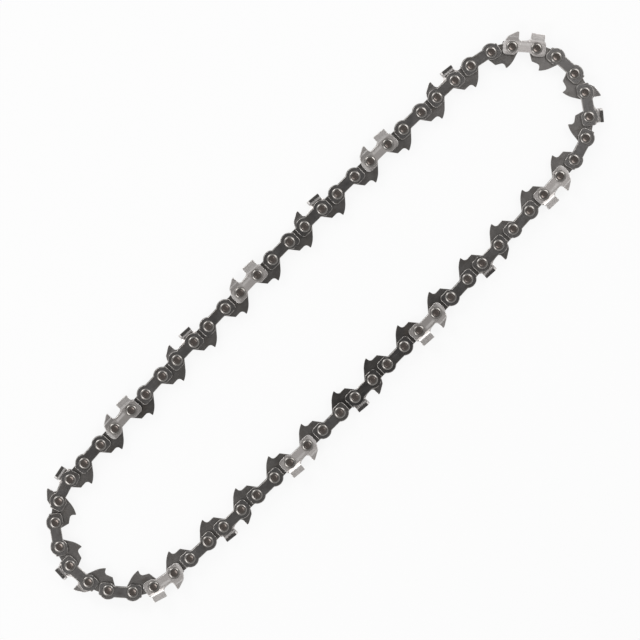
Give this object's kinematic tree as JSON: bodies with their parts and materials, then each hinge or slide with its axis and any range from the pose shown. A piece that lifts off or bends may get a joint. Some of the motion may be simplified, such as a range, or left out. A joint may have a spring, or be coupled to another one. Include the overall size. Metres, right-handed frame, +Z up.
{
  "type": "saw chain loop",
  "caption": "Closed loop of low-profile saw chain: riveted tie straps, drive links with tangs that run in a bar groove, and left and right cutters, lying flat and free to flex.",
  "frame": {"origin": "on the table under the middle of the loop's box, as it lies flat on its right-hand cutters", "axes": "+X along the loop's length, +Y across it, +Z up, parallel to the rivets"},
  "size_m": [0.294, 0.0756, 0.0057],
  "materials": {
    "cutter_steel": "plated satin",
    "strap_steel": "blued satin",
    "drive_link_steel": "blued satin"
  },
  "bodies": {
    "left_cutter_link_01": {"left_cutter_link_01": "cutter_steel"},
    "drive_link_01": {"drive_link_01": "drive_link_steel"},
    "tie_link_02": {"tie_link_02": "strap_steel"},
    "drive_link_02": {"drive_link_02": "drive_link_steel"},
    "right_cutter_link_03": {"right_cutter_link_03": "cutter_steel"},
    "drive_link_03": {"drive_link_03": "drive_link_steel"},
    "tie_link_04": {"tie_link_04": "strap_steel"},
    "drive_link_04": {"drive_link_04": "drive_link_steel"},
    "left_cutter_link_05_with_drive_link": {"left_cutter_link_05_with_drive_link": "cutter_steel"},
    "tie_link_06": {"tie_link_06": "strap_steel"},
    "drive_link_06": {"drive_link_06": "drive_link_steel"},
    "right_cutter_link_07": {"right_cutter_link_07": "cutter_steel"},
    "drive_link_07": {"drive_link_07": "drive_link_steel"},
    "tie_link_08_with_drive_link": {"tie_link_08_with_drive_link": "strap_steel"},
    "left_cutter_link_09": {"left_cutter_link_09": "cutter_steel"},
    "drive_link_09": {"drive_link_09": "drive_link_steel"},
    "tie_link_10": {"tie_link_10": "strap_steel"},
    "drive_link_10": {"drive_link_10": "drive_link_steel"},
    "right_cutter_link_11_with_drive_link": {"right_cutter_link_11_with_drive_link": "cutter_steel"},
    "tie_link_12": {"tie_link_12": "strap_steel"},
    "drive_link_12": {"drive_link_12": "drive_link_steel"},
    "left_cutter_link_13": {"left_cutter_link_13": "cutter_steel"},
    "drive_link_13": {"drive_link_13": "drive_link_steel"},
    "tie_link_14_with_drive_link": {"tie_link_14_with_drive_link": "strap_steel"},
    "right_cutter_link_15": {"right_cutter_link_15": "cutter_steel"},
    "drive_link_15": {"drive_link_15": "drive_link_steel"},
    "tie_link_16": {"tie_link_16": "strap_steel"},
    "drive_link_16": {"drive_link_16": "drive_link_steel"},
    "left_cutter_link_17": {"left_cutter_link_17": "cutter_steel"},
    "drive_link_17": {"drive_link_17": "drive_link_steel"},
    "tie_link_18": {"tie_link_18": "strap_steel"},
    "drive_link_18": {"drive_link_18": "drive_link_steel"},
    "right_cutter_link_19": {"right_cutter_link_19": "cutter_steel"},
    "drive_link_19": {"drive_link_19": "drive_link_steel"},
    "tie_link_20": {"tie_link_20": "strap_steel"},
    "drive_link_20": {"drive_link_20": "drive_link_steel"},
    "right_cutter_link_21": {"right_cutter_link_21": "cutter_steel"},
    "drive_link_21": {"drive_link_21": "drive_link_steel"},
    "tie_link_22_with_drive_link": {"tie_link_22_with_drive_link": "strap_steel"},
    "left_cutter_link_23": {"left_cutter_link_23": "cutter_steel"},
    "drive_link_23": {"drive_link_23": "drive_link_steel"},
    "tie_link_24": {"tie_link_24": "strap_steel"},
    "drive_link_24": {"drive_link_24": "drive_link_steel"},
    "right_cutter_link_25_with_drive_link": {"right_cutter_link_25_with_drive_link": "cutter_steel"},
    "tie_link_26": {"tie_link_26": "strap_steel"},
    "drive_link_26": {"drive_link_26": "drive_link_steel"},
    "left_cutter_link_27": {"left_cutter_link_27": "cutter_steel"},
    "drive_link_27": {"drive_link_27": "drive_link_steel"},
    "tie_link_28_with_drive_link": {"tie_link_28_with_drive_link": "strap_steel"},
    "right_cutter_link_29": {"right_cutter_link_29": "cutter_steel"},
    "drive_link_29": {"drive_link_29": "drive_link_steel"},
    "tie_link_30": {"tie_link_30": "strap_steel"},
    "drive_link_30": {"drive_link_30": "drive_link_steel"},
    "left_cutter_link_31_with_drive_link": {"left_cutter_link_31_with_drive_link": "cutter_steel"},
    "tie_link_32": {"tie_link_32": "strap_steel"},
    "drive_link_32": {"drive_link_32": "drive_link_steel"},
    "right_cutter_link_33": {"right_cutter_link_33": "cutter_steel"},
    "drive_link_33": {"drive_link_33": "drive_link_steel"},
    "tie_link_34": {"tie_link_34": "strap_steel"},
    "drive_link_34": {"drive_link_34": "drive_link_steel"}
  },
  "joints": [
    {"name": "pivot_21", "type": "hinge", "parent": "drive_link_10", "child": "right_cutter_link_11_with_drive_link", "pos_m": [-0.00213, -0.03138, 0.00285], "axis": [0, 0, 1], "range_deg": [-8, 1.72]},
    {"name": "pivot_23", "type": "hinge", "parent": "right_cutter_link_11_with_drive_link", "child": "tie_link_12", "pos_m": [-0.02077, -0.03127, 0.00285], "axis": [0, 0, 1], "range_deg": [-8, 1.72]},
    {"name": "pivot_24", "type": "hinge", "parent": "tie_link_12", "child": "drive_link_12", "pos_m": [-0.03069, -0.03114, 0.00285], "axis": [0, 0, 1], "range_deg": [-8, 1.72]},
    {"name": "pivot_25", "type": "hinge", "parent": "drive_link_12", "child": "left_cutter_link_13", "pos_m": [-0.03941, -0.031, 0.00285], "axis": [0, 0, 1], "range_deg": [-8, 1.72]},
    {"name": "pivot_26", "type": "hinge", "parent": "left_cutter_link_13", "child": "drive_link_13", "pos_m": [-0.04933, -0.03078, 0.00285], "axis": [0, 0, 1], "range_deg": [-8, 1.72]},
    {"name": "pivot_27", "type": "hinge", "parent": "drive_link_13", "child": "tie_link_14_with_drive_link", "pos_m": [-0.05805, -0.03056, 0.00285], "axis": [0, 0, 1], "range_deg": [-8, 1.72]},
    {"name": "pivot_29", "type": "hinge", "parent": "tie_link_14_with_drive_link", "child": "right_cutter_link_15", "pos_m": [-0.07668, -0.02996, 0.00285], "axis": [0, 0, 1], "range_deg": [-8, 1.72]},
    {"name": "pivot_30", "type": "hinge", "parent": "right_cutter_link_15", "child": "drive_link_15", "pos_m": [-0.08659, -0.02957, 0.00285], "axis": [0, 0, 1], "range_deg": [-8, 1.72]},
    {"name": "pivot_31", "type": "hinge", "parent": "drive_link_15", "child": "tie_link_16", "pos_m": [-0.0953, -0.0292, 0.00285], "axis": [0, 0, 1], "range_deg": [-8, 1.72]},
    {"name": "pivot_32", "type": "hinge", "parent": "tie_link_16", "child": "drive_link_16", "pos_m": [-0.10521, -0.02872, 0.00285], "axis": [0, 0, 1], "range_deg": [-8, 1.72]},
    {"name": "pivot_33", "type": "hinge", "parent": "drive_link_16", "child": "left_cutter_link_17", "pos_m": [-0.11392, -0.02827, 0.00285], "axis": [0, 0, 1], "range_deg": [-0.98, 4.55]},
    {"name": "pivot_34", "type": "hinge", "parent": "left_cutter_link_17", "child": "drive_link_17", "pos_m": [-0.12361, -0.02617, 0.00285], "axis": [0, 0, 1], "range_deg": [-3.89, 18.15]},
    {"name": "pivot_35", "type": "hinge", "parent": "drive_link_17", "child": "tie_link_18", "pos_m": [-0.13108, -0.02166, 0.00285], "axis": [0, 0, 1], "range_deg": [-3.9, 18.19]},
    {"name": "pivot_36", "type": "hinge", "parent": "tie_link_18", "child": "drive_link_18", "pos_m": [-0.13744, -0.01406, 0.00285], "axis": [0, 0, 1], "range_deg": [-3.9, 18.19]},
    {"name": "pivot_37", "type": "hinge", "parent": "drive_link_18", "child": "right_cutter_link_19", "pos_m": [-0.14056, -0.00591, 0.00285], "axis": [0, 0, 1], "range_deg": [-3.9, 18.19]},
    {"name": "pivot_38", "type": "hinge", "parent": "right_cutter_link_19", "child": "drive_link_19", "pos_m": [-0.14091, 0.004, 0.00285], "axis": [0, 0, 1], "range_deg": [-3.9, 18.19]},
    {"name": "pivot_39", "type": "hinge", "parent": "drive_link_19", "child": "tie_link_20", "pos_m": [-0.13837, 0.01234, 0.00285], "axis": [0, 0, 1], "range_deg": [-3.9, 18.19]},
    {"name": "pivot_40", "type": "hinge", "parent": "tie_link_20", "child": "drive_link_20", "pos_m": [-0.13255, 0.02038, 0.00285], "axis": [0, 0, 1], "range_deg": [-3.9, 18.19]},
    {"name": "pivot_41", "type": "hinge", "parent": "drive_link_20", "child": "right_cutter_link_21", "pos_m": [-0.12542, 0.02539, 0.00285], "axis": [0, 0, 1], "range_deg": [-3.9, 18.19]},
    {"name": "pivot_42", "type": "hinge", "parent": "right_cutter_link_21", "child": "drive_link_21", "pos_m": [-0.11589, 0.02816, 0.00285], "axis": [0, 0, 1], "range_deg": [-2.08, 9.7]},
    {"name": "pivot_43", "type": "hinge", "parent": "drive_link_21", "child": "tie_link_22_with_drive_link", "pos_m": [-0.10718, 0.02866, 0.00285], "axis": [0, 0, 1], "range_deg": [-7.66, 1.64]},
    {"name": "pivot_45", "type": "hinge", "parent": "tie_link_22_with_drive_link", "child": "left_cutter_link_23", "pos_m": [-0.08856, 0.02952, 0.00285], "axis": [0, 0, 1], "range_deg": [-8, 1.72]},
    {"name": "pivot_46", "type": "hinge", "parent": "left_cutter_link_23", "child": "drive_link_23", "pos_m": [-0.07865, 0.02992, 0.00285], "axis": [0, 0, 1], "range_deg": [-8, 1.72]},
    {"name": "pivot_47", "type": "hinge", "parent": "drive_link_23", "child": "tie_link_24", "pos_m": [-0.06994, 0.03023, 0.00285], "axis": [0, 0, 1], "range_deg": [-8, 1.72]},
    {"name": "pivot_48", "type": "hinge", "parent": "tie_link_24", "child": "drive_link_24", "pos_m": [-0.06002, 0.03054, 0.00285], "axis": [0, 0, 1], "range_deg": [-8, 1.72]},
    {"name": "pivot_49", "type": "hinge", "parent": "drive_link_24", "child": "right_cutter_link_25_with_drive_link", "pos_m": [-0.0513, 0.03077, 0.00285], "axis": [0, 0, 1], "range_deg": [-8, 1.72]},
    {"name": "pivot_51", "type": "hinge", "parent": "right_cutter_link_25_with_drive_link", "child": "tie_link_26", "pos_m": [-0.03267, 0.03115, 0.00285], "axis": [0, 0, 1], "range_deg": [-8, 1.72]},
    {"name": "pivot_52", "type": "hinge", "parent": "tie_link_26", "child": "drive_link_26", "pos_m": [-0.02275, 0.03128, 0.00285], "axis": [0, 0, 1], "range_deg": [-8, 1.72]},
    {"name": "pivot_53", "type": "hinge", "parent": "drive_link_26", "child": "left_cutter_link_27", "pos_m": [-0.01403, 0.03136, 0.00285], "axis": [0, 0, 1], "range_deg": [-8, 1.72]},
    {"name": "pivot_20", "type": "hinge", "parent": "drive_link_10", "child": "tie_link_10", "pos_m": [0.00659, -0.03138, 0.00285], "axis": [0, 0, 1], "range_deg": [-1.72, 8]},
    {"name": "pivot_19", "type": "hinge", "parent": "tie_link_10", "child": "drive_link_09", "pos_m": [0.0165, -0.03133, 0.00285], "axis": [0, 0, 1], "range_deg": [-1.72, 8]},
    {"name": "pivot_18", "type": "hinge", "parent": "drive_link_09", "child": "left_cutter_link_09", "pos_m": [0.02522, -0.03125, 0.00285], "axis": [0, 0, 1], "range_deg": [-1.72, 8]},
    {"name": "pivot_17", "type": "hinge", "parent": "left_cutter_link_09", "child": "tie_link_08_with_drive_link", "pos_m": [0.03514, -0.03111, 0.00285], "axis": [0, 0, 1], "range_deg": [-1.72, 8]},
    {"name": "pivot_15", "type": "hinge", "parent": "tie_link_08_with_drive_link", "child": "drive_link_07", "pos_m": [0.05378, -0.03074, 0.00285], "axis": [0, 0, 1], "range_deg": [-1.72, 8]},
    {"name": "pivot_14", "type": "hinge", "parent": "drive_link_07", "child": "right_cutter_link_07", "pos_m": [0.0625, -0.0305, 0.00285], "axis": [0, 0, 1], "range_deg": [-1.72, 8]},
    {"name": "pivot_13", "type": "hinge", "parent": "right_cutter_link_07", "child": "drive_link_06", "pos_m": [0.07241, -0.03019, 0.00285], "axis": [0, 0, 1], "range_deg": [-1.72, 8]},
    {"name": "pivot_12", "type": "hinge", "parent": "drive_link_06", "child": "tie_link_06", "pos_m": [0.08113, -0.02989, 0.00285], "axis": [0, 0, 1], "range_deg": [-1.72, 8]},
    {"name": "pivot_11", "type": "hinge", "parent": "tie_link_06", "child": "left_cutter_link_05_with_drive_link", "pos_m": [0.09104, -0.02949, 0.00285], "axis": [0, 0, 1], "range_deg": [-1.72, 8]},
    {"name": "pivot_09", "type": "hinge", "parent": "left_cutter_link_05_with_drive_link", "child": "drive_link_04", "pos_m": [0.10966, -0.02862, 0.00285], "axis": [0, 0, 1], "range_deg": [-1.64, 7.66]},
    {"name": "pivot_08", "type": "hinge", "parent": "drive_link_04", "child": "tie_link_04", "pos_m": [0.11836, -0.02812, 0.00285], "axis": [0, 0, 1], "range_deg": [-9.7, 2.08]},
    {"name": "pivot_07", "type": "hinge", "parent": "tie_link_04", "child": "drive_link_03", "pos_m": [0.12789, -0.02536, 0.00285], "axis": [0, 0, 1], "range_deg": [-18.19, 3.9]},
    {"name": "pivot_06", "type": "hinge", "parent": "drive_link_03", "child": "right_cutter_link_03", "pos_m": [0.13502, -0.02034, 0.00285], "axis": [0, 0, 1], "range_deg": [-18.19, 3.9]},
    {"name": "pivot_05", "type": "hinge", "parent": "right_cutter_link_03", "child": "drive_link_02", "pos_m": [0.14084, -0.01231, 0.00285], "axis": [0, 0, 1], "range_deg": [-18.19, 3.9]},
    {"name": "pivot_04", "type": "hinge", "parent": "drive_link_02", "child": "tie_link_02", "pos_m": [0.14338, -0.00397, 0.00285], "axis": [0, 0, 1], "range_deg": [-18.19, 3.9]},
    {"name": "pivot_03", "type": "hinge", "parent": "tie_link_02", "child": "drive_link_01", "pos_m": [0.14304, 0.00595, 0.00285], "axis": [0, 0, 1], "range_deg": [-18.19, 3.9]},
    {"name": "pivot_02", "type": "hinge", "parent": "drive_link_01", "child": "left_cutter_link_01", "pos_m": [0.13992, 0.01409, 0.00285], "axis": [0, 0, 1], "range_deg": [-18.19, 3.9]},
    {"name": "pivot_01", "type": "hinge", "parent": "left_cutter_link_01", "child": "drive_link_34", "pos_m": [0.13355, 0.0217, 0.00285], "axis": [0, 0, 1], "range_deg": [-18.19, 3.9]},
    {"name": "pivot_68", "type": "hinge", "parent": "drive_link_34", "child": "tie_link_34", "pos_m": [0.12609, 0.02621, 0.00285], "axis": [0, 0, 1], "range_deg": [-18.15, 3.89]},
    {"name": "pivot_67", "type": "hinge", "parent": "tie_link_34", "child": "drive_link_33", "pos_m": [0.11639, 0.0283, 0.00285], "axis": [0, 0, 1], "range_deg": [-4.55, 0.98]},
    {"name": "pivot_66", "type": "hinge", "parent": "drive_link_33", "child": "right_cutter_link_33", "pos_m": [0.10769, 0.02876, 0.00285], "axis": [0, 0, 1], "range_deg": [-1.72, 8]},
    {"name": "pivot_65", "type": "hinge", "parent": "right_cutter_link_33", "child": "drive_link_32", "pos_m": [0.09778, 0.02923, 0.00285], "axis": [0, 0, 1], "range_deg": [-1.72, 8]},
    {"name": "pivot_64", "type": "hinge", "parent": "drive_link_32", "child": "tie_link_32", "pos_m": [0.08907, 0.02961, 0.00285], "axis": [0, 0, 1], "range_deg": [-1.72, 8]},
    {"name": "pivot_63", "type": "hinge", "parent": "tie_link_32", "child": "left_cutter_link_31_with_drive_link", "pos_m": [0.07915, 0.02999, 0.00285], "axis": [0, 0, 1], "range_deg": [-1.72, 8]},
    {"name": "pivot_61", "type": "hinge", "parent": "left_cutter_link_31_with_drive_link", "child": "drive_link_30", "pos_m": [0.06052, 0.03059, 0.00285], "axis": [0, 0, 1], "range_deg": [-1.72, 8]},
    {"name": "pivot_60", "type": "hinge", "parent": "drive_link_30", "child": "tie_link_30", "pos_m": [0.05181, 0.03082, 0.00285], "axis": [0, 0, 1], "range_deg": [-1.72, 8]},
    {"name": "pivot_59", "type": "hinge", "parent": "tie_link_30", "child": "drive_link_29", "pos_m": [0.04189, 0.03103, 0.00285], "axis": [0, 0, 1], "range_deg": [-1.72, 8]},
    {"name": "pivot_58", "type": "hinge", "parent": "drive_link_29", "child": "right_cutter_link_29", "pos_m": [0.03317, 0.03118, 0.00285], "axis": [0, 0, 1], "range_deg": [-1.72, 8]},
    {"name": "pivot_57", "type": "hinge", "parent": "right_cutter_link_29", "child": "tie_link_28_with_drive_link", "pos_m": [0.02325, 0.0313, 0.00285], "axis": [0, 0, 1], "range_deg": [-1.72, 8]},
    {"name": "pivot_55", "type": "hinge", "parent": "tie_link_28_with_drive_link", "child": "drive_link_27", "pos_m": [0.00461, 0.03142, 0.00285], "axis": [0, 0, 1], "range_deg": [-1.72, 8]}
  ],
  "couplings": [
    {"joint": "pivot_23", "follows": "pivot_21", "ratio": 1},
    {"joint": "pivot_24", "follows": "pivot_21", "ratio": 1},
    {"joint": "pivot_25", "follows": "pivot_21", "ratio": 1},
    {"joint": "pivot_26", "follows": "pivot_21", "ratio": 1},
    {"joint": "pivot_27", "follows": "pivot_21", "ratio": 1},
    {"joint": "pivot_29", "follows": "pivot_21", "ratio": 1},
    {"joint": "pivot_30", "follows": "pivot_21", "ratio": 1},
    {"joint": "pivot_31", "follows": "pivot_21", "ratio": 1},
    {"joint": "pivot_32", "follows": "pivot_21", "ratio": 1},
    {"joint": "pivot_33", "follows": "pivot_21", "ratio": -0.5689},
    {"joint": "pivot_34", "follows": "pivot_21", "ratio": -2.268},
    {"joint": "pivot_35", "follows": "pivot_21", "ratio": -2.2726},
    {"joint": "pivot_36", "follows": "pivot_21", "ratio": -2.2726},
    {"joint": "pivot_37", "follows": "pivot_21", "ratio": -2.2726},
    {"joint": "pivot_38", "follows": "pivot_21", "ratio": -2.2726},
    {"joint": "pivot_39", "follows": "pivot_21", "ratio": -2.2726},
    {"joint": "pivot_40", "follows": "pivot_21", "ratio": -2.2726},
    {"joint": "pivot_41", "follows": "pivot_21", "ratio": -2.2726},
    {"joint": "pivot_42", "follows": "pivot_21", "ratio": -1.2118},
    {"joint": "pivot_43", "follows": "pivot_21", "ratio": 0.95698},
    {"joint": "pivot_45", "follows": "pivot_21", "ratio": 1},
    {"joint": "pivot_46", "follows": "pivot_21", "ratio": 1},
    {"joint": "pivot_47", "follows": "pivot_21", "ratio": 1},
    {"joint": "pivot_48", "follows": "pivot_21", "ratio": 1},
    {"joint": "pivot_49", "follows": "pivot_21", "ratio": 1},
    {"joint": "pivot_51", "follows": "pivot_21", "ratio": 1},
    {"joint": "pivot_52", "follows": "pivot_21", "ratio": 1},
    {"joint": "pivot_53", "follows": "pivot_21", "ratio": 1},
    {"joint": "pivot_20", "follows": "pivot_21", "ratio": -1},
    {"joint": "pivot_19", "follows": "pivot_21", "ratio": -1},
    {"joint": "pivot_18", "follows": "pivot_21", "ratio": -1},
    {"joint": "pivot_17", "follows": "pivot_21", "ratio": -1},
    {"joint": "pivot_15", "follows": "pivot_21", "ratio": -1},
    {"joint": "pivot_14", "follows": "pivot_21", "ratio": -1},
    {"joint": "pivot_13", "follows": "pivot_21", "ratio": -1},
    {"joint": "pivot_12", "follows": "pivot_21", "ratio": -1},
    {"joint": "pivot_11", "follows": "pivot_21", "ratio": -1},
    {"joint": "pivot_09", "follows": "pivot_21", "ratio": -0.95698},
    {"joint": "pivot_08", "follows": "pivot_21", "ratio": 1.2118},
    {"joint": "pivot_07", "follows": "pivot_21", "ratio": 2.2726},
    {"joint": "pivot_06", "follows": "pivot_21", "ratio": 2.2726},
    {"joint": "pivot_05", "follows": "pivot_21", "ratio": 2.2726},
    {"joint": "pivot_04", "follows": "pivot_21", "ratio": 2.2726},
    {"joint": "pivot_03", "follows": "pivot_21", "ratio": 2.2726},
    {"joint": "pivot_02", "follows": "pivot_21", "ratio": 2.2726},
    {"joint": "pivot_01", "follows": "pivot_21", "ratio": 2.2726},
    {"joint": "pivot_68", "follows": "pivot_21", "ratio": 2.268},
    {"joint": "pivot_67", "follows": "pivot_21", "ratio": 0.5689},
    {"joint": "pivot_66", "follows": "pivot_21", "ratio": -1},
    {"joint": "pivot_65", "follows": "pivot_21", "ratio": -1},
    {"joint": "pivot_64", "follows": "pivot_21", "ratio": -1},
    {"joint": "pivot_63", "follows": "pivot_21", "ratio": -1},
    {"joint": "pivot_61", "follows": "pivot_21", "ratio": -1},
    {"joint": "pivot_60", "follows": "pivot_21", "ratio": -1},
    {"joint": "pivot_59", "follows": "pivot_21", "ratio": -1},
    {"joint": "pivot_58", "follows": "pivot_21", "ratio": -1},
    {"joint": "pivot_57", "follows": "pivot_21", "ratio": -1},
    {"joint": "pivot_55", "follows": "pivot_21", "ratio": -1}
  ]
}
